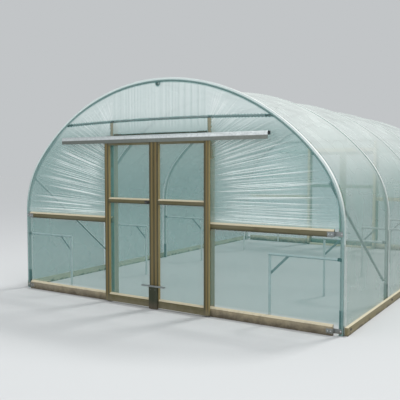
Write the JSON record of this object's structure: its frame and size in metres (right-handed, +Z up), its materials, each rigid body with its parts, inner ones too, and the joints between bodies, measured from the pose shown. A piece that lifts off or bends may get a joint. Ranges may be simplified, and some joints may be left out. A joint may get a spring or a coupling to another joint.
{
  "type": "polytunnel greenhouse",
  "caption": "Polythene-covered tunnel greenhouse of bent steel hoops on timber base rails, with timber-framed end walls and sliding doors.",
  "frame": {"origin": "ground level, at the middle of the footprint", "axes": "+X across the tunnel, to the right as seen from the front doors; +Y along the tunnel, from the front end to the rear; +Z up"},
  "size_m": [4.3778, 6.3744, 2.5716],
  "materials": {
    "galvanised_tube": "dull galvanised zinc",
    "zinc_fittings": "weathered zinc plate",
    "track_steel": "galvanised sheet with spangle",
    "black_plastic": "moulded, matt",
    "dark_iron": "black paint, worn",
    "frame_timber": "sawn softwood, weathered grey-brown",
    "base_timber": "sawn softwood, damp-stained",
    "door_timber": "planed softwood, brown preservative",
    "guide_board": "dark green-grey stain",
    "cover_polythene": "milky translucent polythene sheet",
    "end_polythene": "clear polythene sheet, slightly hazed"
  },
  "bodies": {
    "tunnel": {"bench_arms": "galvanised_tube", "bench_braces": "zinc_fittings", "bench_collars": "zinc_fittings", "bench_legs": "galvanised_tube", "corner_braces": "galvanised_tube", "cover_crown": "cover_polythene", "cover_left_bend": "cover_polythene", "cover_left_wall": "cover_polythene", "cover_right_bend": "cover_polythene", "cover_right_wall": "cover_polythene", "door_guide_irons": "zinc_fittings", "door_guides": "guide_board", "door_head_rails": "frame_timber", "door_posts": "frame_timber", "door_sills": "frame_timber", "door_tracks": "track_steel", "end_base_rails": "base_timber", "front_film_left": "end_polythene", "front_film_right": "end_polythene", "front_film_top": "end_polythene", "ground_tubes": "galvanised_tube", "head_bar_clamps": "zinc_fittings", "head_bars": "galvanised_tube", "hoop_1": "galvanised_tube", "hoop_2": "galvanised_tube", "hoop_3": "galvanised_tube", "hoop_4": "galvanised_tube", "hoop_5": "galvanised_tube", "mid_rails": "frame_timber", "rail_straps": "zinc_fittings", "rear_door_films": "end_polythene", "rear_door_frames": "door_timber", "rear_door_hangers": "zinc_fittings", "rear_film_left": "end_polythene", "rear_film_right": "end_polythene", "rear_film_top": "end_polythene", "ridge_saddles": "zinc_fittings", "ridge_tube": "galvanised_tube", "side_base_rails": "base_timber", "side_rail_bolts": "dark_iron", "track_brackets": "zinc_fittings", "track_end_plugs": "black_plastic"},
    "front_left_door": {"front_left_door_film": "end_polythene", "front_left_door_frame": "door_timber", "front_left_door_hangers": "zinc_fittings", "front_left_door_latch": "dark_iron"},
    "front_right_door": {"front_right_door_film": "end_polythene", "front_right_door_frame": "door_timber", "front_right_door_hangers": "zinc_fittings"}
  },
  "joints": [
    {"name": "front_left_slide", "type": "slide", "parent": "tunnel", "child": "front_left_door", "axis": [-1, 0, 0], "range_m": [0, 0.65]},
    {"name": "front_right_slide", "type": "slide", "parent": "tunnel", "child": "front_right_door", "axis": [1, 0, 0], "range_m": [0, 0.65]}
  ]
}
